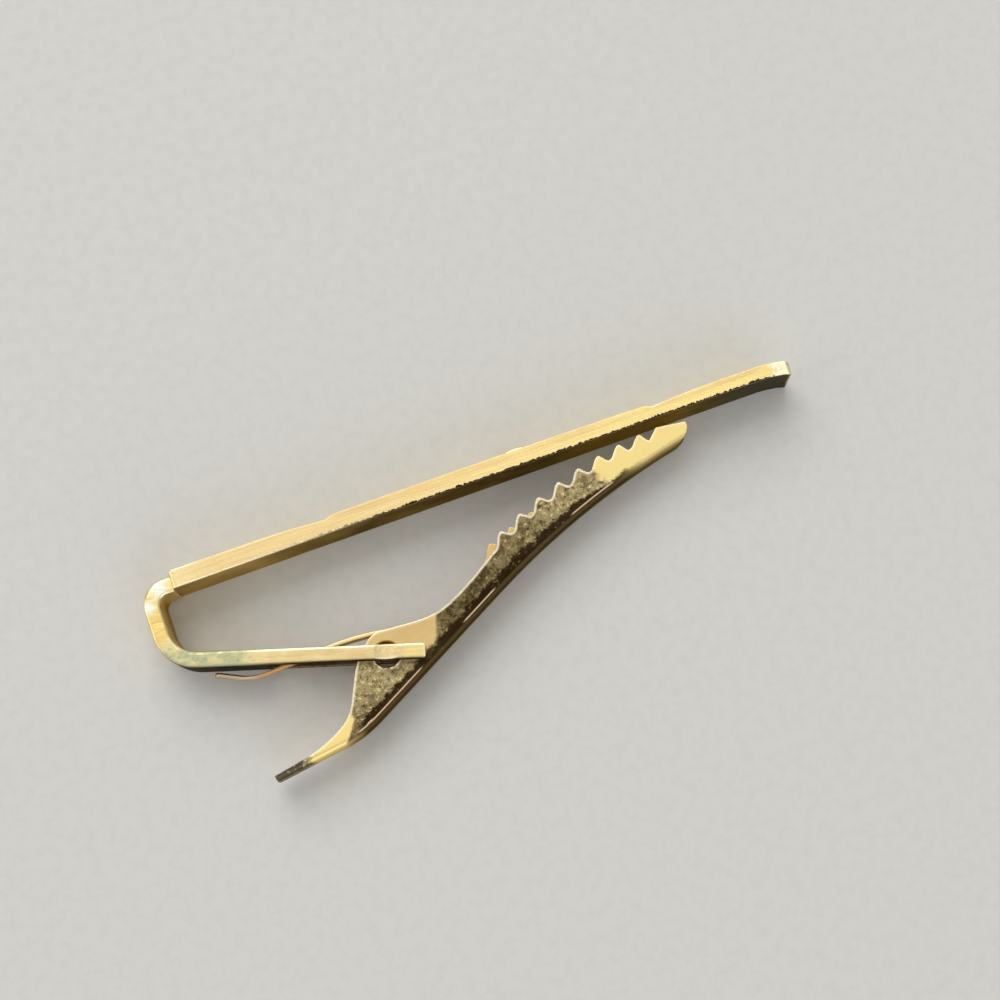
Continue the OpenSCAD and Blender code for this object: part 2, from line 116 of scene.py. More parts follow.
class ClipPlate(PropertyGroup):
    """Colours and sizes of the gold plate, of what has happened to it, and of the shade and highlights
    painted on it.
    """

    pale: colour("Pale gold", "Plate on the rolled edges, polished pale", "#EFD9A0")
    # Bright gold is also the halo of the highlights painted on the bend
    bright: colour("Bright gold", "Plate towards the free ends, where it is thickest", "#F8E092")
    warm: colour("Warm gold", "Plate that was worked hard, in the bend", "#FADA86")
    # Painted shade: a darker gold laid in the hollows of the bend's wrinkles
    amber_hollow_shade: colour("Amber gold", "Plate in the hollows of the bend's wrinkles", "#E2B768")
    tan: colour("Tan gold", "Duller plate on the ears and along the middle of rolled faces", "#DDBC80")
    # Olive is real film in the rough places and round the dents, and also painted shade on the bar's back
    # faces, on the bend's wall and along the jaw's fold
    olive: colour("Olive tarnish", "Film in the rough places", "#9C8F68")
    # Drab is real film in the jaw's pits and on its neck, and painted shade on faces that look down or back
    # and on the back of the jaw's channel
    drab: colour("Drab tarnish", "Thicker film on faces that look down or back", "#6B5C3C")
    # Brown is real film in pits, in the bar's notches and on the jaw's neck, and painted shade on the bar's
    # back face, under the leg, on the fork's low faces, along the jaw's fold and in its hollow
    brown: colour("Brown tarnish", "Thick film where cloth and fingers never rub", "#2E1E0D")
    patina: colour("Green patina", "Salts on the leg beside the bend", "#A3B08B")
    teal: colour("Teal patina", "Thickest salts", "#7F9F82")
    bare: colour("Bare metal", "Silvery metal under the plate at worn ends", "#FBF6D2")
    # Painted highlight: the near-white of the bright spots painted on the bend
    shine: colour("Burnished spot", "Brightest rubbed spots on the bend", "#FFFEF2")
    # Dark metal also serves as the dark grey painted shade on the bar's back face near its tip
    iron: colour("Dark metal", "Greyed metal at the thumb tab's worn end", "#47433A")
    # Painted shade: the grazing tint of the dark grey painted on the bar's back face near its tip
    grey: colour("Grey film", "Film on the back face near the bar's tip", "#BCBAB0")
    # Rubbed plate along the edges, which also stands as the painted highlight on their rounding
    edge: colour("Rubbed edge", "Brightest plate, along the edges", "#FFF3D2")
    # Painted highlight: the thin line that a lamp makes along the jaw's fold
    fold_highlight_colour: colour("Rosy edge", "Brass showing where the plate is rubbed off a fold", "#F0D2B0")
    round_r: length("Edge rounding", "Radius of the rounding left on the edges", 0.12 * MM, 1 * MM)
    # The rubbed brightness of the edges is also their painted highlight
    rub_r: length("Edge wear", "Reach of the rubbed brightness from an edge", 0.34 * MM, 1 * MM)
    rim_r: length("Toothed rim", "Reach of the rubbed brightness from the jaw's edges", 0.5 * MM, 1 * MM)
    pit: length("Pit size", "Width of the pits in the rough plate", 0.32 * MM, 2 * MM)
    line: length("Rolling line", "Spacing of the fine lines left by rolling", 0.09 * MM, 1 * MM)
    notch: length("Rim notch", "Spacing of the small notches on the bar's back rim", 0.22 * MM, 2 * MM)
    wrinkle: length("Wrinkle", "Spacing of the cross wrinkles in the bend", 0.75 * MM, 3 * MM)


class ClipLeaf(PropertyGroup):
    """Sizes and colours of the leaf spring."""

    thickness: length("Thickness", "Thickness of the strip", 0.4 * MM, 1 * MM)
    width: length("Width", "Width of the strip", LEAF_HIGH.z - LEAF_LOW.z, 5 * MM)
    corner: length("End corner", "Radius of the corners at both ends", 0.45 * MM, 1 * MM)
    twist: FloatProperty(
        name="Twist", description="How far the free end is twisted about its length", default=math.radians(7),
        min=0, max=math.radians(30), subtype="ANGLE",
    )
    steps: IntProperty(name="Steps", description="Points on each bend", default=24, min=4, max=64)
    copper: colour("Copper", "Colour of the strip's broad faces", "#B87C42")
    gold: colour("Thin gilding", "Gilding left on the arch", "#F2D99C")
    orange: colour("Orange gilding", "Thin gilding just past the fork", "#D9A566")
    silver: colour("Rubbed edge", "Pale edges of the strip", "#D2BFA0")
    dull: colour("Dull copper", "Dulled strip near its ends", "#8C6A4C")


class ClipStage(PropertyGroup):
    """Floor, lamps and camera."""

    floor: colour("Floor", "Plain pale floor", "#CDCCC8")
    surround: amount("Surround", "Level of the even light from all round", 0.5, 2)
    overhead: amount("Overhead", "Radiance of the large soft lamp overhead", 0.27, 10)
    key: amount("Key", "Radiance of the large soft lamp beyond the bar", 2.1, 40)
    fill: amount("Fill", "Radiance of the two large soft lamps low on the sides", 0.8, 40)
    focal: amount("Focal length", "Focal length on a 36 mm sensor", 75.24, 300, low=20)
    place: FloatVectorProperty(
        name="Camera place", description="Place of the camera", default=(-0.00498, -0.02542, 0.19519), size=3,
        subtype="TRANSLATION", unit="LENGTH",
    )


class ClipLooks(PropertyGroup):
    """Everything that can be set about the clip's looks."""

    plate: PointerProperty(type=ClipPlate)
    leaf: PointerProperty(type=ClipLeaf)
    stage: PointerProperty(type=ClipStage)


def add(tree, kind, inputs=None, out=0, **settings):
    """Adds a node with settings and with links or values, and returns an output, or the node for out=None."""
    node = tree.nodes.new(kind)
    for name, value in settings.items():
        setattr(node, name, value)
    for key, value in (inputs or {}).items():
        if isinstance(value, NodeSocket):
            tree.links.new(value, node.inputs[key])
        else:
            node.inputs[key].default_value = value
    return node.outputs[out] if out is not None and node.outputs else node


def rgba(value):
    """The colour with full opacity, as sockets want it."""
    return (*value, 1.0)


def new_material(name):
    """An empty node material and its tree."""
    material = bpy.data.materials.new(name)
    material.use_nodes = True
    material.node_tree.nodes.clear()
    return material, material.node_tree


def metal(tree, base, roughness, normal, grazing, metallic=1.0):
    """Ends a tree in a metal shader with its own colour at grazing angles. A metal keeps the default IOR."""
    shader = add(tree, "ShaderNodeBsdfPrincipled", {
        "Base Color": base, "Roughness": roughness, "Normal": normal, "Specular Tint": grazing,
        "Metallic": metallic,
    })
    add(tree, "ShaderNodeOutputMaterial", {"Surface": shader})


def places(tree):
    """Object coordinates in millimetres, their three parts, and the surface's own direction in the object."""
    source = add(tree, "ShaderNodeTexCoord", out=None)
    spot = add(
        tree, "ShaderNodeVectorMath", {0: source.outputs["Object"], "Scale": 1 / MM}, operation="SCALE"
    )
    parts = add(tree, "ShaderNodeSeparateXYZ", {0: spot}, out=None).outputs
    facing = add(tree, "ShaderNodeSeparateXYZ", {0: source.outputs["Normal"]}, out=None).outputs
    return spot, parts, facing


def from_pivot(tree, spot, lean):
    """The place measured from the pivot, along a direction that leans by so many degrees and across it."""
    turned = add(
        tree, "ShaderNodeMapping", {0: spot, "Location": PIVOT / MM, "Rotation": (0, 0, math.radians(lean))},
        vector_type="TEXTURE",
    )
    return turned, add(tree, "ShaderNodeSeparateXYZ", {0: turned}, out=None).outputs


def softened(tree, radius, reach):
    """The rounded normal of an edge, and how near the edge it is within its reach, from 0 to 1, for the
    rubbed and painted brightness of edges.
    """
    rounded = add(tree, "ShaderNodeBevel", {"Radius": radius}, samples=BEVEL_SAMPLES)
    wide = add(tree, "ShaderNodeBevel", {"Radius": reach}, samples=BEVEL_SAMPLES)
    flat = add(tree, "ShaderNodeNewGeometry", out="Normal")
    alike = add(tree, "ShaderNodeVectorMath", {0: wide, 1: flat}, out="Value", operation="DOT_PRODUCT")
    return rounded, share(tree, (alike, RUB_START, RUB_FULL))


def share(tree, *limits, low=0.0, high=1.0):
    """How far all limits are met, from low to high. A limit is a share of its own, or a value with where it
    starts and where it is met in full, with a smooth step between."""
    met = [
        add(tree, "ShaderNodeMapRange", dict(enumerate(limit)), interpolation_type="SMOOTHSTEP")
        if isinstance(limit, tuple) else limit
        for limit in limits
    ]
    total = functools.reduce(
        lambda a, b: add(tree, "ShaderNodeMath", {0: a, 1: b}, operation="MULTIPLY"), met
    )
    if (low, high) == (0.0, 1.0):
        return total
    return add(tree, "ShaderNodeMath", {0: total, 1: high - low, 2: low}, operation="MULTIPLY_ADD")


def weigh(tree, *terms):
    """Sum of terms, each a value times its weight, and a last number."""
    total = terms[-1]
    for value, weight in terms[:-1]:
        total = add(tree, "ShaderNodeMath", {0: value, 1: weight, 2: total}, operation="MULTIPLY_ADD")
    return total


def coats(tree, base, *steps):
    """Lays coats over the base colour, each as far as its share says."""
    for much, tint in steps:
        tint = tint if isinstance(tint, NodeSocket) else rgba(tint)
        base = add(tree, "ShaderNodeMix", {0: much, 6: base, 7: tint}, out=2, data_type="RGBA")
    return base


def relief(tree, normal, *steps):
    """Lays bumps over a surface, each with its strength, its depth in millimetres and its height."""
    for strength, depth, height in steps:
        normal = add(tree, "ShaderNodeBump", {
            "Strength": strength, "Distance": depth * MM, "Height": height, "Normal": normal,
        })
    return normal


def grain(tree, spot, scale, detail=3.0, rough=0.6, warp=0.0):
    """Noise with its own scale on each axis, in features per millimetre."""
    stretched = add(tree, "ShaderNodeMapping", {0: spot, "Scale": scale})
    return add(tree, "ShaderNodeTexNoise", {
        0: stretched, "Scale": 1.0, "Detail": detail, "Roughness": rough, "Distortion": warp,
    })


def rolled_bar(plate):
    """Gold-plated brass bar, rolled and polished: fine lengthwise lines with a broad duller band, a front
    rim that is rubbed bright, with a painted highlight, only at its left end, a back rim worn in small
    notches, painted shade on the back face, brown and dark grey near the tip, with one old scratch,
    and pale metal at the free tip."""
    material, tree = new_material("gold_plate_rolled_bar")
    spot, at, facing = places(tree)
    rounded, rubbed = softened(tree, plate.round_r, plate.rub_r)
    lines = grain(tree, spot, (0.12, MM / plate.line, MM / plate.line))
    cloud = grain(tree, spot, (0.18, 0.5, 0.3))
    speck = grain(tree, spot, (2.6, 2.6, 2.6), detail=4.0)
    notches = grain(tree, spot, (MM / plate.notch, 0.4, 0.4), detail=2.0, rough=0.7)

    # Height over the bar's back rim, which tapers evenly and turns back at the free tip
    turn = share(tree, (at["X"], TIP_FROM, TIP_TO), high=TIP_TURN)
    over_rim = weigh(tree, (at["X"], -RIM_SLOPE), (at["Y"], 1.0), (turn, -1.0), -RIM_Y)
    ragged_rim = weigh(tree, (notches, -0.5), (speck, -0.3), (over_rim, 1.0), 0.42)
    # Faces that look back mirror the shaded floor in front of the bar; the colour laid on them below is
    # painted shade
    back = share(tree, (facing["Y"], -0.35, -0.8))
    outside = share(tree, (facing["Y"], 0.35, 0.8))
    up = share(tree, (facing["Z"], 0.35, 0.8))
    # The part of the front rim that is dull
    front = share(tree, (over_rim, 0.9, 1.2), (at["X"], -27.5, -25.5))
    # Rubbed plate along the edges, also standing as their painted highlight
    worn_and_lit_edge = share(
        tree, rubbed, (speck, 0.3, 0.46), (at["Z"], 0.4, 2.4), weigh(tree, (front, -0.75), 0.95)
    )
    cloudy = share(tree, (cloud, 0.3, 0.7), low=0.75)
    # Painted shade: brown over the back faces, lighter towards the left end and broken by cloud
    film = share(tree, back, (at["X"], -25, -8), (at["Z"], -8.0, 2.0), cloudy, high=0.72)
    # Painted shade: dark grey on the back face near the tip
    painted_grey_shade = share(tree, back, (at["X"], 19, 29))
    # Across from the teeth the back face is smoother and its painted shade is left off, so that it mirrors
    # them
    mirror = share(tree, back, (at["X"], 6, 13), (at["X"], 24, 20))
    arc = add(
        tree, "ShaderNodeMapping", {0: spot, "Location": SCRATCH_CENTRE, "Scale": SCRATCH_AXES},
        vector_type="TEXTURE",
    )
    arc_r = add(tree, "ShaderNodeVectorMath", {0: arc}, out="Value", operation="LENGTH")
    scratch = share(
        tree, back, (arc_r, 0.86, 0.97), (arc_r, 1.14, 1.03), (at["Z"], 3.2, 4.4), (at["Z"], 5.0, 4.6)
    )
    tip = share(tree, (weigh(tree, (at["X"], 1.0), (speck, 2.4), -1.2), 30.0, 30.8), (speck, 0.36, 0.46))
    dull_top = share(tree, up, (over_rim, 0.62, 0.95), (at["X"], -26, -4), (cloud, 0.25, 0.6), high=0.6)
    base = coats(
        tree, rgba(plate.pale),
        (share(tree, (at["X"], -30, -24), (at["X"], 26, 8), up, 0.45), plate.tan),
        (share(tree, (at["X"], -18, 28), high=0.85), plate.bright),
        (dull_top, plate.tan),
        (share(tree, (lines, 0.5, 0.75), weigh(tree, (outside, 0.3), 0.12)), plate.tan),
        # Painted shade on the back faces: olive, then brown
        (share(tree, back, (cloud, 0.3, 0.65), high=0.5), plate.olive),
        (share(tree, film, weigh(tree, (mirror, -0.7), 1.0)), plate.brown),
        # Painted shade: dark grey on the back face near the tip
        (share(tree, painted_grey_shade, 0.8), plate.iron),
        (worn_and_lit_edge, plate.edge),
        (share(tree, up, (ragged_rim, 0.2, 0.12), (at["X"], -24, -6), (over_rim, 0.4, 0.25)), plate.brown),
        (share(tree, scratch, 0.6), plate.tan),
        (share(tree, tip, (facing["Y"], -0.8, -0.3)), plate.bare),
    )
    streaks = share(tree, (lines, 0.3, 0.7), weigh(tree, (mirror, -0.9), 1.0))
    dull_rim = share(tree, rubbed, front)
    rough = weigh(tree, (streaks, 0.12), (back, 0.1), (mirror, -0.26), (dull_rim, 0.22), 0.22)
    normal = relief(tree, rounded, (0.3, 0.012, lines), (0.6, 0.05, share(tree, speck, rubbed)))
    # The grazing tints carry the same painted shade on the back faces
    grazing = coats(
        tree, rgba(plate.edge),
        (back, plate.tan),
        (share(tree, film, weigh(tree, (mirror, -0.6), 1.0)), plate.drab),
        (painted_grey_shade, plate.grey),
    )
    metal(tree, base, rough, normal, grazing)
    return material


def polished_boss(plate):
    """Gold-plated brass boss, die-struck and polished: clean warm plate with soft swirls from the buff."""
    material, tree = new_material("gold_plate_polished_boss")
    spot, _, _ = places(tree)
    rounded, rubbed = softened(tree, plate.round_r, plate.rub_r)
    swirl = grain(tree, spot, (0.9, 7.0, 0.9), warp=0.6)
    base = coats(
        tree, rgba(plate.warm),
        (share(tree, (swirl, 0.35, 0.7), low=0.1, high=0.7), plate.bright),
        # Rubbed plate along the boss's edges, also standing as their painted highlight
        (share(tree, rubbed, 0.7), plate.edge),
    )
    rough = share(tree, (swirl, 0.3, 0.7), low=0.14, high=0.24)
    metal(tree, base, rough, relief(tree, rounded, (0.4, 0.01, swirl)), rgba(plate.edge))
    return material


def bent_strip(plate):
    """Gold-plated brass strip, bent cold: cross wrinkles, warm bright plate and painted highlights in the
    bend, with painted shade in the wrinkles' hollows, green salts beside it, pale plate with a duller middle
    on the leg, pitted plate round the punched dents, and dark painted shade on the faces that look down, on
    the fork's low faces and on the bend's wall that looks along the leg."""
    material, tree = new_material("gold_plate_bent_strip")
    spot, at, facing = places(tree)
    leg_spot, leg = from_pivot(tree, spot, LEG_LEAN)
    rounder = weigh(tree, (share(tree, (at["X"], -25.5, -28)), BEND_ROUND), plate.round_r)
    rounded, rubbed = softened(tree, rounder, plate.rub_r)
    wrinkles = grain(tree, spot, (0.3, MM / plate.wrinkle, 0.2), detail=1.5, warp=0.4)
    lines = grain(tree, leg_spot, (0.3, LEG_LINES, LEG_LINES))
    cloud = grain(tree, leg_spot, (0.35, 0.9, 0.6))
    blotch = grain(tree, leg_spot, (0.75, 1.3, 0.9), detail=5.0, rough=0.65)
    pits = grain(tree, spot, (MM / plate.pit,) * 3, detail=4.0, rough=0.65)

    up = share(tree, (facing["Z"], 0.3, 0.8))
    near = share(tree, (at["Z"], 3.0, 4.0))
    # Painted shade: faces that look up but lie low, on the far arm of the fork under the near one
    far = share(tree, up, (at["Z"], 4.0, 3.0))
    in_bend = share(tree, (at["X"], -28.7, -29.6), (at["Y"], 3.6, 5.4))
    # Painted shade: the bend's wall that looks along the leg, darker towards the bottom
    shaded_inner_wall = share(tree, (facing["X"], 0.3, 0.8), (at["X"], -20, -24), (at["Z"], 4.6, 1.6))
    # Painted shade: faces that look down, which mirror the shaded floor
    under = share(tree, (facing["Y"], -0.3, -0.8), (at["Y"], 5.0, 4.0))
    over = share(tree, (facing["Y"], 0.3, 0.8), (at["Y"], 6.0, 4.0))
    salts = share(
        tree, (at["X"], -22.8, -25.2), (at["Y"], 4.8, 3.2), up, near, weigh(tree, (rubbed, -0.9), 1.0),
        share(tree, (blotch, 0.34, 0.56), low=0.4),
    )
    thick = share(tree, salts, (pits, 0.5, 0.6), (blotch, 0.42, 0.55))
    # Painted highlights: bright spots on the bend
    painted_glints = []
    for centre, reach in PAINTED_GLINTS:
        off = add(tree, "ShaderNodeVectorMath", {0: spot, 1: centre}, out="Value", operation="DISTANCE")
        painted_glints.append(share(tree, (off, reach, 0.0)))
    painted_glint = add(tree, "ShaderNodeMath", {0: painted_glints[0], 1: painted_glints[1]}, operation="MAXIMUM")
    broken_painted_glint = weigh(tree, (painted_glint, 1.0), (pits, 0.5), (wrinkles, 0.5), -0.5)
    middle = share(
        tree, up, (leg["Y"], -0.42, -0.1), (leg["Y"], 0.75, 0.4), (leg["X"], -16, -9), (cloud, 0.3, 0.6)
    )
    dented = share(tree, up, (leg["X"], -2.2, -1.0), (leg["X"], 1.9, 0.9), (pits, 0.4, 0.55))
    tips = share(tree, up, (leg["X"], 1.4, 1.9))
    # Rubbed plate along the edges, also standing as their painted highlight
    worn_and_lit_edge = share(
        tree, rubbed, (pits, 0.3, 0.5), weigh(tree, (under, -0.8), 1.0), weigh(tree, (far, -0.8), 1.0)
    )
    base = coats(
        tree, rgba(plate.pale),
        (share(tree, (cloud, 0.35, 0.7), high=0.3), plate.tan),
        (share(tree, middle, 0.5), plate.tan),
        (share(tree, in_bend, 0.9), plate.warm),
        # Painted shade: darker gold in the hollows of the wrinkles
        (share(tree, in_bend, (wrinkles, 0.5, 0.34), high=0.45), plate.amber_hollow_shade),
        # Painted highlight: a bright halo and a near-white core round each spot
        (share(tree, (painted_glint, 0.0, 0.5), 0.9), plate.bright),
        (share(tree, (broken_painted_glint, 0.15, 0.95), painted_glint, 0.9), plate.shine),
        (share(tree, dented, 0.3), plate.olive),
        (share(tree, tips, 0.7), plate.bright),
        # Painted shade: drab and brown on faces that look down, olive on the bend's wall and brown on the
        # fork's low faces
        (share(tree, under, 0.9), plate.drab),
        (share(tree, under, (cloud, 0.25, 0.6), high=0.8), plate.brown),
        (share(tree, over, (cloud, 0.3, 0.7), high=0.5), plate.drab),
        (share(tree, shaded_inner_wall, 0.35), plate.olive),
        (share(tree, far, 0.9), plate.brown),
        (worn_and_lit_edge, plate.edge),
        (share(tree, salts, 0.75), plate.patina),
        (share(tree, thick, 0.55), plate.teal),
    )
    streaks = share(tree, (lines, 0.3, 0.7))
    rough = weigh(tree, (streaks, 0.12), (salts, 0.3), (dented, 0.22), (in_bend, -0.05), 0.22)
    creases = share(tree, weigh(tree, (wrinkles, 1.0), -0.5), in_bend, weigh(tree, (painted_glint, -0.8), 1.0))
    normal = relief(
        tree, rounded,
        (1.0, 0.06, creases),
        (0.25, 0.012, lines),
        (0.8, 0.03, share(tree, weigh(tree, (blotch, 1.0), -0.5), salts)),
        (0.7, 0.03, share(tree, weigh(tree, (pits, 1.0), -0.5), dented)),
    )
    # The grazing tints carry the painted shade on the faces that look down and on the bend's wall
    grazing = coats(tree, rgba(plate.edge), (under, plate.drab), (shaded_inner_wall, plate.tan))
    # Where salts lie, little of the metal shows
    metal(tree, base, rough, normal, grazing, share(tree, salts, low=1.0, high=0.3))
    return material


def folded_jaw(plate):
    """Gold-plated brass sheet, blanked and folded: smooth plate at the toothed end, on the ears' tops and on
    the thumb tab, rough pitted olive plate between them, brown painted shade along the folds with a thin
    painted highlight on the fold itself, painted shade on the channel's back and in its hollow, and a whitish
    rim along the whole toothed edge that is rubbed plate with a painted highlight."""
    material, tree = new_material("gold_plate_folded_jaw")
    spot, at, facing = places(tree)
    rounded, rubbed = softened(tree, plate.round_r, plate.rim_r)
    jaw_spot, jaw = from_pivot(tree, spot, JAW_LEAN)
    leg_spot, leg = from_pivot(tree, spot, LEG_LEAN)
    pits = grain(tree, spot, (MM / plate.pit,) * 3, detail=5.0, rough=0.7)
    blotch = grain(tree, spot, (1.1, 1.1, 1.1), detail=4.0)
    cloud = grain(tree, jaw_spot, (0.3, 0.6, 0.4))
    lines = grain(tree, jaw_spot, (0.4, JAW_LINES, JAW_LINES))

    # Height over the fold, which is straight under the neck and curves down behind the teeth. A share made of
    # one value twice is its square
    from_neck = weigh(tree, (jaw["X"], 1.0), -NECK_END)
    past_neck = add(tree, "ShaderNodeMath", {0: from_neck, 1: 0.0}, operation="MAXIMUM")
    sag = share(tree, past_neck, past_neck)
    rise = math.tan(math.radians(FOLD_RISE))
    height = weigh(tree, (jaw["X"], -rise), (jaw["Y"], 1.0), (sag, 1 / (2 * FOLD_RADIUS)), FOLD_DEPTH)
    ragged = weigh(tree, (blotch, 2.0), (pits, 1.6), -1.8)
    ragged_height = weigh(tree, (height, 1.0), (ragged, 0.5), 0.0)
    ragged_x = weigh(tree, (ragged, 0.5), (jaw["X"], 1.0), 0.0)

    up = share(tree, (facing["Z"], 0.6, 0.92))
    near = share(tree, (at["Z"], 2.6, 3.0))
    # Smooth plate: the toothed end, the thumb tab, the ears' tops and all of the far wall
    end_limit = add(tree, "ShaderNodeMath", {0: jaw["Y"], 1: -0.4}, operation="MINIMUM")
    smooth_end = share(tree, (weigh(tree, (end_limit, 0.9), (ragged, 0.5), (jaw["X"], 1.0), 0.0), 24.8, 25.4))
    tab_limit = add(tree, "ShaderNodeMath", {0: jaw["Y"], 1: -2.7}, operation="MINIMUM")
    tab = share(tree, (weigh(tree, (tab_limit, -1.5), (ragged, 0.5), (jaw["X"], 1.0), -4.08), -5.8, -6.3))
    ear_limit = add(tree, "ShaderNodeMath", {0: leg["Y"], 1: 1.7}, operation="MINIMUM")
    ear_edge = weigh(tree, (ear_limit, -0.28), (ragged, 0.35), (leg["X"], 1.0), 0.0)
    ear_top = share(tree, (ear_edge, 4.35, 4.0), (leg["Y"], -0.8, -0.5))
    far = weigh(tree, (near, -1.0), 1.0)
    smooth = functools.reduce(
        lambda a, b: add(tree, "ShaderNodeMath", {0: a, 1: b}, operation="MAXIMUM"),
        (smooth_end, tab, ear_top, far),
    )
    pitted = share(tree, weigh(tree, (smooth, -1.0), 1.0), up)

    # Painted shade: a band along the fold, the channel's back between the walls and its hollow. Real film:
    # the middle of the neck
    reach = share(tree, (jaw["X"], 22.5, 25.5), low=0.5, high=0.0)
    band = share(
        tree, near, (weigh(tree, (height, 1.0), (ragged, 0.5), (reach, -1.0), 0.0), 0.85, 0.45),
        (jaw["X"], -6.6, -5.6), (jaw["X"], 30.0, 27.0), (facing["Z"], -0.2, 0.1),
    )
    cloudy = share(tree, (cloud, 0.25, 0.6), low=0.5)
    neck = share(tree, pitted, (jaw["X"], 3.6, 6.0), (jaw["X"], 22.0, 12.5), cloudy)
    shaded_web = share(tree, (facing["Z"], 0.97, 0.85), (height, 0.9, 0.4), (ragged_x, -9.0, -5.5))
    shaded_inside = share(tree, (facing["Y"], 0.3, 0.8), (facing["Z"], 0.5, 0.2), (height, 1.4, 0.8))

    # Painted highlight on three stretches of the fold; rubbed places: the hole's edge, the tab's end and the
    # toothed rim, whose rubbed brightness is also a painted highlight
    fade = FOLD_FADE
    stretches = [
        (share(tree, (jaw["X"], start - fade, start + fade), (jaw["X"], end + fade, end - fade)), 1.0)
        for start, end in FOLD_HIGHLIGHT_STRETCHES
    ]
    # Painted highlight: where the fold's curve would catch the lamp, on the stretches given
    painted_fold_highlight = share(
        tree, (facing["Z"], 0.915, 0.955), (facing["Z"], 0.995, 0.984), (height, 1.2, 0.8),
        weigh(tree, *stretches, 0.0),
    )
    off_axis = add(tree, "ShaderNodeVectorMath", {0: leg_spot, 1: (1, 1, 0)}, operation="MULTIPLY")
    ring_r = add(tree, "ShaderNodeVectorMath", {0: off_axis}, out="Value", operation="LENGTH")
    ring = share(tree, up, near, (ring_r, 1.55, 1.4), (leg["Y"], 0.0, -0.7))
    ragged_end = weigh(tree, (ragged, 1.2), (jaw["X"], 1.0), 0.0)
    tab_tip = share(tree, (ragged_end, -10.6, -12.4), (facing["Y"], 0.6, 0.3))
    frayed = share(tree, (jaw["X"], -10.6, -11.6), (pits, 0.57, 0.66))
    rim = share(tree, rubbed, (height, 1.0, 1.3), (pits, 0.2, 0.36), (ring_r, 1.7, 2.0), near)
    base = coats(
        tree, rgba(plate.tan),
        (share(tree, smooth_end, 0.95), plate.bright),
        (share(tree, tab, 0.85), plate.bright),
        (share(tree, (cloud, 0.4, 0.7), high=0.2), plate.pale),
        (share(tree, pitted, 0.92), plate.olive),
        (share(tree, pitted, (blotch, 0.52, 0.38), high=0.7), plate.drab),
        (share(tree, pitted, (jaw["X"], -1.5, -4.5), (ragged_height, 2.8, 1.2), 0.75), plate.drab),
        (share(tree, neck, 0.9), plate.drab),
        (share(tree, neck, (blotch, 0.6, 0.42), high=0.65), plate.brown),
        (share(tree, pitted, (pits, 0.55, 0.65), weigh(tree, (neck, -0.6), 1.0), 0.7), plate.pale),
        (share(tree, pitted, (pits, 0.46, 0.37), high=0.8), plate.brown),
        # Painted shade along the fold, brown, flecked olive where it is pitted
        (share(tree, band, 0.95), plate.brown),
        (share(tree, band, (pits, 0.6, 0.68), high=0.7), plate.olive),
        # Painted shade on the channel's back between the walls and in its hollow
        (share(tree, shaded_web, (cloud, 0.2, 0.6), high=0.2), plate.brown),
        (share(tree, shaded_web, 0.7), plate.drab),
        (share(tree, shaded_inside, 0.85), plate.brown),
        (share(tree, ring, (pits, 0.4, 0.55), 0.7), plate.edge),
        # Rubbed plate along the toothed rim, also standing as its painted highlight
        (share(tree, rim, weigh(tree, (pitted, 0.35), 0.6)), plate.edge),
        # Painted highlight: a thin rosy line on the fold
        (share(tree, painted_fold_highlight, 0.85), plate.fold_highlight_colour),
        (share(tree, tab_tip, 0.95), plate.iron),
        (share(tree, frayed, 0.65), plate.edge),
    )
    streaks = share(tree, (lines, 0.3, 0.7))
    rough = weigh(tree, (streaks, 0.04), (pitted, 0.2), (band, 0.12), (shaded_web, 0.12), (tab, 0.12), 0.23)
    normal = relief(
        tree, rounded,
        (1.0, 0.09, share(tree, weigh(tree, (pits, 1.0), -0.5), pitted)),
        (0.1, 0.01, lines),
    )
    # The grazing tints carry the painted shade on the channel's back, along the fold and in the hollow
    grazing = coats(tree, rgba(plate.edge), (shaded_web, plate.olive), (band, plate.drab), (shaded_inside, plate.brown))
    metal(tree, base, rough, normal, grazing)
    return material


# Rounding of the leaf's edges in its finish, and how metallic its worn gilding is
LEAF_ROUND = 0.06 * MM
LEAF_METALLIC = 0.6
# Brightness of the card's fleck, as a share of the rest
FLECK = 0.93


def spring_strip(leaf):
    """Copper-coloured spring strip, cold-rolled and slit: fine lengthwise lines, copper broad faces, pale
    rubbed edges, thin gilding on the arch and dull ends."""
    material, tree = new_material("copper_spring_strip")
    uv = add(tree, "ShaderNodeUVMap", uv_map="strip")
    along = add(tree, "ShaderNodeSeparateXYZ", {0: uv}, out=None).outputs["X"]
    _, _, facing = places(tree)
    lines = grain(tree, uv, (1.2, LEAF_LINES, 1.0))
    cloud = grain(tree, uv, (14.0, 6.0, 1.0))
    rounded = add(tree, "ShaderNodeBevel", {"Radius": LEAF_ROUND}, samples=BEVEL_SAMPLES)
    arch = share(tree, (along, 0.26, 0.4), (along, 0.7, 0.6))
    side = share(tree, (facing["Z"], 0.5, 0.85))
    end = share(tree, (along, 0.75, 0.85))
    base = coats(
        tree, rgba(leaf.copper),
        (share(tree, (cloud, 0.35, 0.7), high=0.5), leaf.dull),
        (share(tree, side, 0.7), leaf.silver),
        (share(tree, arch, 0.85), leaf.gold),
        (share(tree, side, end, 0.7), leaf.silver),
        (share(tree, (along, 0.7, 0.74), (along, 0.88, 0.84), 0.75), leaf.orange),
        (share(tree, end, (cloud, 0.4, 0.6), high=0.35), leaf.dull),
    )
    rough = share(tree, (lines, 0.3, 0.7), low=0.24, high=0.4)
    normal = relief(tree, rounded, (0.5, 0.01, lines))
    metal(tree, base, rough, normal, rgba(leaf.gold), LEAF_METALLIC)
    return material


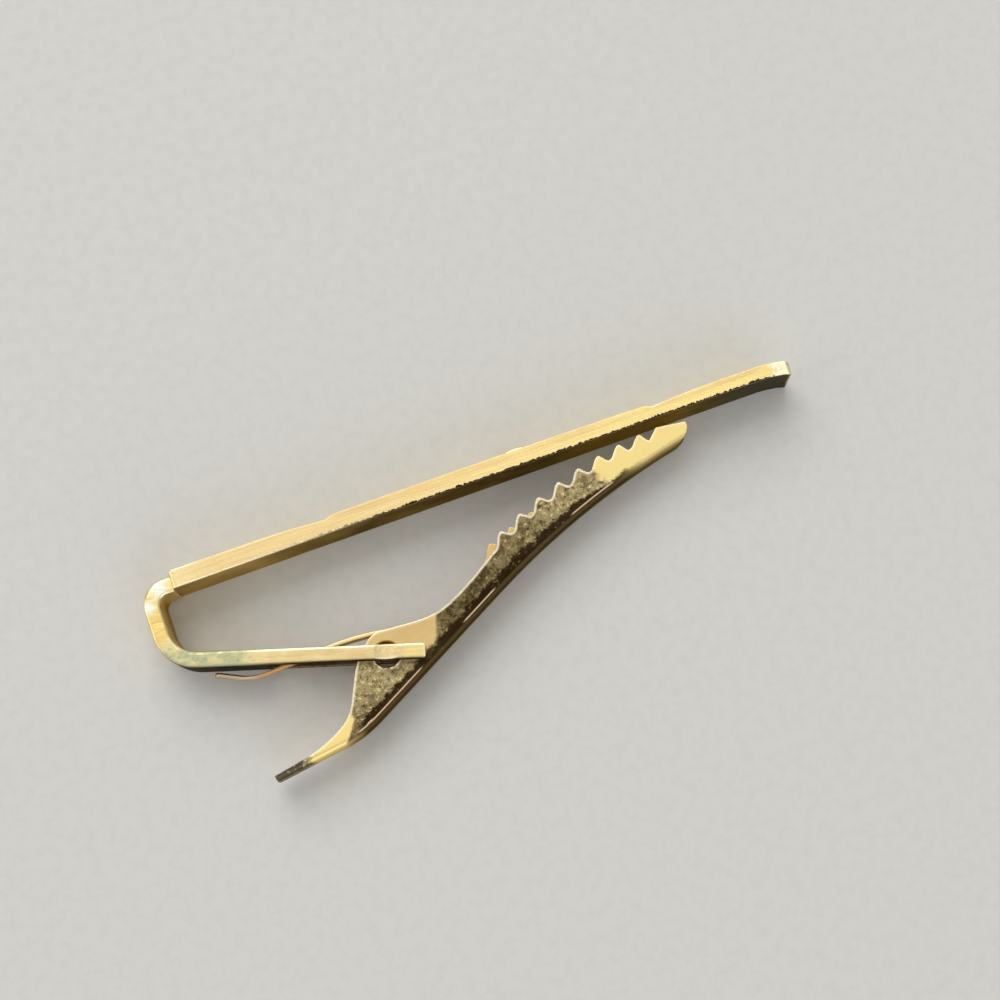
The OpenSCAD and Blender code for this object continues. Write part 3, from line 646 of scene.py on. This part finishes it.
def pale_card(stage):
    """Pale card, matt and pressed: a faint fleck a little darker than the rest, and no shine."""
    material, tree = new_material("pale_card")
    spot, _, _ = places(tree)
    fleck = grain(tree, spot, (0.9, 0.9, 0.9), detail=4.0)
    tint = tuple(c * FLECK for c in stage.floor)
    base = coats(tree, rgba(stage.floor), (share(tree, (fleck, 0.4, 0.7), high=0.6), tint))
    shader = add(tree, "ShaderNodeBsdfDiffuse", {"Color": base})
    add(tree, "ShaderNodeOutputMaterial", {"Surface": shader})
    return material


# Corners of the leaf's middle line, from its foot on the jaw to its free tip, and the reach of each bend
LEAF_CORNERS = np.array([
    (-0.7977, -0.7762), (-3.8900, -2.4155), (-14.5960, -0.7608),
    (-20.3040, -1.0494), (-24.6002, -1.2703), (-27.7283, 0.2629),
]) * MM
LEAF_BENDS = np.array([0.6, 2.6, 1.4, 1.3]) * MM
# Stations along the leaf: so many over this much of each end, closer towards the end, for its round corners,
# and so many all along it, for the straight runs. Two stations no further apart than the last number are one
END_REACH, END_STATIONS = 0.5 * MM, 12
RUN_STATIONS, SAME_STATION = 90, 1e-7
# The leaf narrows at its ends by a little less than the radius of their corners
NARROWING = 0.999
# Radius of the leaf's long edges, as a share of half its thickness, and points on each of them
LEAF_EDGE_SHARE, LEAF_EDGE_POINTS = 0.55, 5
# The twist starts at this share of the leaf's length and is complete after so much more of it
TWIST_FROM, TWIST_SPAN = 0.6, 0.24
# Faces of the leaf that meet at a larger angle than this show an edge
SHARP_ANGLE = math.radians(50)


def leaf_line(steps):
    """Straight runs joined by parabolas: at each corner the line is the corner plus (1 - t) squared times
    the reach back and t squared times the reach ahead, for t from 0 to 1."""
    before, corner, after = LEAF_CORNERS[:-2], LEAF_CORNERS[1:-1], LEAF_CORNERS[2:]
    back = (before - corner) / np.linalg.norm(before - corner, axis=1, keepdims=True)
    ahead = (after - corner) / np.linalg.norm(after - corner, axis=1, keepdims=True)
    t = np.linspace(0, 1, steps)[None, :, None]
    pull = (1 - t) ** 2 * back[:, None] + t**2 * ahead[:, None]
    bends = corner[:, None] + LEAF_BENDS[:, None, None] * pull
    line = np.concatenate([LEAF_CORNERS[:1], bends.reshape(-1, 2), LEAF_CORNERS[-1:]])
    far = np.concatenate([[0], np.cumsum(np.linalg.norm(np.diff(line, axis=0), axis=1))])
    ends = END_REACH * (1 - np.cos(np.linspace(0, math.pi / 2, END_STATIONS)))
    runs = np.linspace(0, far[-1], RUN_STATIONS)
    stations = np.unique(np.concatenate([ends, far[-1] - ends, far[far > END_REACH], runs]))
    stations = stations[np.concatenate([[True], np.diff(stations) > SAME_STATION])]
    return np.stack([np.interp(stations, far, line[:, k]) for k in (0, 1)], axis=1), stations


def strip_mesh(name, leaf):
    """A rounded rectangle carried along the middle line: each station's ring is its centre plus half the
    thickness times the line's normal and half the width along Z, narrowed by a quarter circle at both ends.
    The ring turns about the line by the twist times 3 s squared less 2 s cubed, where s goes from 0 to 1
    over the middle of the free part."""
    line, far = leaf_line(leaf.steps)
    heading = np.gradient(line, far, axis=0)
    heading /= np.linalg.norm(heading, axis=1, keepdims=True)
    normal = np.stack([-heading[:, 1], heading[:, 0]], axis=1)
    r = leaf.corner
    gap = np.minimum(far, far[-1] - far)
    narrow = r - np.sqrt(np.clip(r**2 - np.clip(r - gap, 0, r) ** 2, 0, None))
    half_w, half_t = leaf.width / 2 - narrow * NARROWING, leaf.thickness / 2

    edge_r = half_t * LEAF_EDGE_SHARE
    turn = np.linspace(0, math.pi / 2, LEAF_EDGE_POINTS)
    quarter = np.stack([np.cos(turn), np.sin(turn)], axis=1) * edge_r
    signs = np.repeat([(1, 1), (-1, 1), (-1, -1), (1, -1)], LEAF_EDGE_POINTS, axis=0)
    arc = np.concatenate([quarter, quarter[::-1], quarter, quarter[::-1]]) * signs
    across = signs[None, :, 0] * (half_w[:, None] - edge_r) + arc[None, :, 0]
    out = signs[None, :, 1] * (half_t - edge_r) + arc[None, :, 1]
    middle = (LEAF_LOW.z + LEAF_HIGH.z) / 2
    s = np.clip((far / far[-1] - TWIST_FROM) / TWIST_SPAN, 0, 1)
    turned = (leaf.twist * s**2 * (3 - 2 * s))[:, None]
    outward = out * np.cos(turned) + across * np.sin(turned)
    ring = np.stack([
        line[:, None, 0] + outward * normal[:, None, 0],
        line[:, None, 1] + outward * normal[:, None, 1],
        middle + across * np.cos(turned) - out * np.sin(turned),
    ], axis=2)

    rows, columns = ring.shape[:2]
    grid = np.arange(rows * columns).reshape(rows, columns)
    nxt = np.roll(grid, -1, axis=1)
    quads = np.stack([grid[:-1], grid[1:], nxt[1:], nxt[:-1]], axis=-1).reshape(-1, 4)
    caps = [grid[0].tolist(), grid[-1, ::-1].tolist()]
    mesh = bpy.data.meshes.new(name)
    mesh.from_pydata(ring.reshape(-1, 3).tolist(), [], quads.tolist() + caps)
    section = np.stack([across[rows // 2], out[0]], axis=1)
    round_it = np.concatenate([[0], np.cumsum(np.linalg.norm(np.diff(section, axis=0), axis=1))])
    uv = np.stack([np.repeat(far / far[-1], columns), np.tile(round_it / (2 * leaf.width), rows)], axis=1)
    corners = np.zeros(len(mesh.loops), np.int32)
    mesh.loops.foreach_get("vertex_index", corners)
    mesh.uv_layers.new(name="strip").data.foreach_set("uv", uv[corners].astype(np.float32).ravel())
    mesh.polygons.foreach_set("use_smooth", [True] * len(mesh.polygons))
    mesh.set_sharp_from_angle(angle=SHARP_ANGLE)
    mesh.update()
    return mesh


def dress(node, material):
    """Gives a CAD node its finish."""
    slots = frame["nodes"][node].data.materials
    slots.clear()
    slots.append(material)


class CLIP_OT_finish_bar(Operator):
    """Finish the front bar and its boss"""

    bl_idname = "clip.finish_bar"
    bl_label = "Finish Bar and Boss"

    def execute(self, context):
        plate = context.scene.clip_looks.plate
        dress("front_bar", rolled_bar(plate))
        dress("centre_boss", polished_boss(plate))
        return {"FINISHED"}


class CLIP_OT_finish_strip(Operator):
    """Finish the bent back strip with its forked leg"""

    bl_idname = "clip.finish_strip"
    bl_label = "Finish Back Strip"

    def execute(self, context):
        dress("back_frame", bent_strip(context.scene.clip_looks.plate))
        return {"FINISHED"}


class CLIP_OT_finish_jaw(Operator):
    """Finish the toothed jaw"""

    bl_idname = "clip.finish_jaw"
    bl_label = "Finish Jaw"

    def execute(self, context):
        dress("jaw", folded_jaw(context.scene.clip_looks.plate))
        return {"FINISHED"}


class CLIP_OT_make_leaf(Operator):
    """Make the leaf spring, from its foot on the jaw to its free tip, in place of the CAD one"""

    bl_idname = "clip.make_leaf"
    bl_label = "Make Leaf Spring"

    def execute(self, context):
        looks = context.scene.clip_looks
        mesh = strip_mesh("spring_leaf", looks.leaf)
        mesh.materials.append(spring_strip(looks.leaf))
        piece = bpy.data.objects.new("spring_leaf", mesh)
        context.scene.collection.objects.link(piece)
        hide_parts("leaf_spring")
        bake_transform(piece)
        return {"FINISHED"}


# Half the floor's length, and its height just under the part, in metres
FLOOR_HALF, FLOOR_LOW = 3.0, -0.01 * MM
# Tint of the even light, and the square lamps: name, place and size in metres, and setting for the radiance
SURROUND_TINT = (1.0, 0.99, 0.97)
LAMPS = (
    ("overhead", (-0.02, 0.04, 0.55), 0.5, "overhead"),
    ("key", (-0.02, 0.76, 0.86), 0.9, "key"),
    ("fill", (0.15, -0.75, 0.5), 0.7, "fill"),
    ("side", (-0.82, 0.1, 0.4), 0.7, "fill"),
)
# The renderer takes an area lamp's radiance as its power over so many times its area
LAMP_FACTOR = 4
# Width of the camera's sensor in millimetres, and how near and far it sees, in metres
SENSOR_WIDTH = 36
SEES_FROM, SEES_TO = 0.01, 20
# The camera's directions: to the right of the picture, down it, and into it
CAMERA_TURN = (
    (0.942747, -0.332922, -0.019803),
    (-0.331359, -0.928282, -0.168800),
    (0.037814, 0.165697, -0.985451),
)


def lay_floor(scene, stage):
    """A plain square floor just under the part."""
    corners = [(x * FLOOR_HALF, y * FLOOR_HALF, FLOOR_LOW) for x, y in ((-1, -1), (1, -1), (1, 1), (-1, 1))]
    mesh = bpy.data.meshes.new("floor")
    mesh.from_pydata(corners, [], [(0, 1, 2, 3)])
    mesh.materials.append(pale_card(stage))
    floor = bpy.data.objects.new("floor", mesh)
    scene.collection.objects.link(floor)


def light_up(scene, stage):
    """Even light from all round, and soft lamps that face the middle of the part."""
    world = bpy.data.worlds.new("studio")
    world.use_nodes = True
    tree = world.node_tree
    tree.nodes.clear()
    light = add(tree, "ShaderNodeBackground", {"Color": rgba(SURROUND_TINT), "Strength": stage.surround})
    add(tree, "ShaderNodeOutputWorld", {"Surface": light})
    scene.world = world
    for name, place, size, setting in LAMPS:
        data = bpy.data.lights.new(name, "AREA")
        data.shape, data.size = "SQUARE", size
        data.energy = getattr(stage, setting) * LAMP_FACTOR * size**2
        lamp = bpy.data.objects.new(name, data)
        lamp.location = place
        lamp.rotation_euler = (-Vector(place)).to_track_quat("-Z", "Y").to_euler()
        scene.collection.objects.link(lamp)


def place_camera(scene, stage):
    """A camera that sees the part as the photograph does."""
    data = bpy.data.cameras.new("camera")
    data.sensor_width, data.lens = SENSOR_WIDTH, stage.focal
    data.clip_start, data.clip_end = SEES_FROM, SEES_TO
    camera = bpy.data.objects.new("camera", data)
    right, down, ahead = (Vector(row) for row in CAMERA_TURN)
    turn = Matrix([right, -down, -ahead]).transposed().to_4x4()
    camera.matrix_world = Matrix.Translation(stage.place) @ turn
    scene.collection.objects.link(camera)
    scene.camera = camera
    scene.view_settings.view_transform = "Standard"


class CLIP_OT_set_stage(Operator):
    """Lay the floor and set up the lamps and the camera"""

    bl_idname = "clip.set_stage"
    bl_label = "Set Stage"

    def execute(self, context):
        scene, stage = context.scene, context.scene.clip_looks.stage
        lay_floor(scene, stage)
        light_up(scene, stage)
        place_camera(scene, stage)
        return {"FINISHED"}


class CLIP_PT_looks(Panel):
    """Sizes, colours and steps of the clip's looks"""

    bl_idname = "CLIP_PT_looks"
    bl_label = "Tie Clip"
    bl_space_type = "VIEW_3D"
    bl_region_type = "UI"
    bl_category = "Tie Clip"

    def draw(self, context):
        looks = context.scene.clip_looks
        for title, group in (("Plate", looks.plate), ("Leaf spring", looks.leaf), ("Stage", looks.stage)):
            box = self.layout.box()
            box.label(text=title)
            for name in group.__annotations__:
                box.prop(group, name)
        for step in STEPS:
            self.layout.operator(step.bl_idname)


STEPS = (CLIP_OT_finish_bar, CLIP_OT_finish_strip, CLIP_OT_finish_jaw, CLIP_OT_make_leaf, CLIP_OT_set_stage)
CLASSES = (ClipPlate, ClipLeaf, ClipStage, ClipLooks, *STEPS, CLIP_PT_looks)


def register():
    """Adds the settings, the steps and the panel."""
    for cls in CLASSES:
        bpy.utils.register_class(cls)
    bpy.types.Scene.clip_looks = PointerProperty(type=ClipLooks)


def unregister():
    """Takes the settings, the steps and the panel away again."""
    del bpy.types.Scene.clip_looks
    for cls in reversed(CLASSES):
        bpy.utils.unregister_class(cls)


def main():
    """Runs every step."""
    register()
    bpy.ops.clip.finish_bar()
    bpy.ops.clip.finish_strip()
    bpy.ops.clip.finish_jaw()
    bpy.ops.clip.make_leaf()
    bpy.ops.clip.set_stage()


if __name__ == "__main__":
    main()
